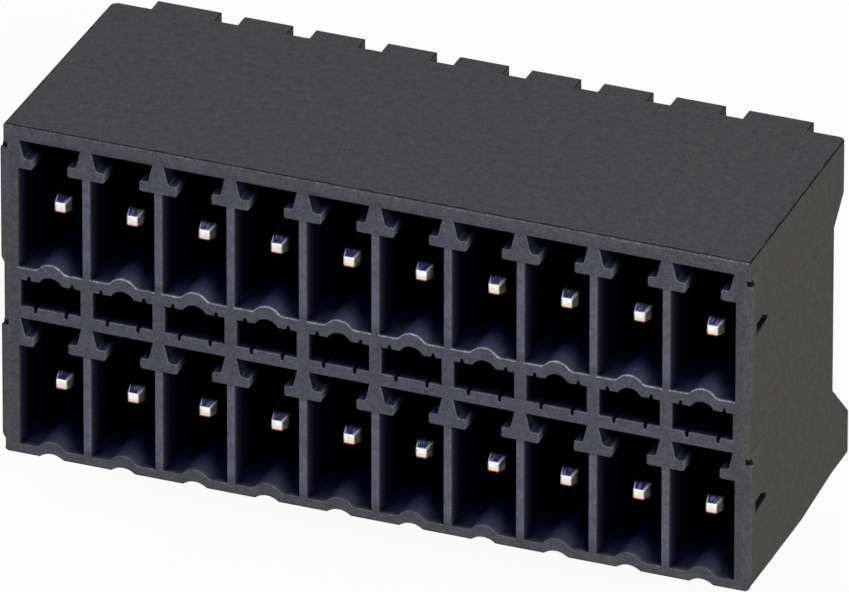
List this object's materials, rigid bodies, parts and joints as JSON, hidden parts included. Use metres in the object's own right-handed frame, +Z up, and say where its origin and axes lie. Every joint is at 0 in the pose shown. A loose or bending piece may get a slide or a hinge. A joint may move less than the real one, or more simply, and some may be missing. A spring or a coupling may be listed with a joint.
{
  "type": "dual row shrouded pin header",
  "caption": "Right-angle board header with two stacked rows of open keyed cells in one black moulded housing, each cell holding a bent square pin whose tail solders into a circuit board.",
  "frame": {"origin": "on the board's surface, in the middle of the flat seat under the front of the housing", "axes": "+X along the rows, -Y out of the open mating face, +Z up from the board"},
  "size_m": [0.0364, 0.0136, 0.0194],
  "materials": {
    "housing_plastic": "fine matte moulded black",
    "pin_tin": "bright tin plate"
  },
  "bodies": {
    "root": {"housing": "housing_plastic", "upper_pin_1": "pin_tin", "upper_pin_2": "pin_tin", "upper_pin_3": "pin_tin", "upper_pin_4": "pin_tin", "upper_pin_5": "pin_tin", "upper_pin_6": "pin_tin", "upper_pin_7": "pin_tin", "upper_pin_8": "pin_tin", "upper_pin_9": "pin_tin", "upper_pin_10": "pin_tin", "lower_pin_1": "pin_tin", "lower_pin_2": "pin_tin", "lower_pin_3": "pin_tin", "lower_pin_4": "pin_tin", "lower_pin_5": "pin_tin", "lower_pin_6": "pin_tin", "lower_pin_7": "pin_tin", "lower_pin_8": "pin_tin", "lower_pin_9": "pin_tin", "lower_pin_10": "pin_tin"}
  },
  "joints": []
}
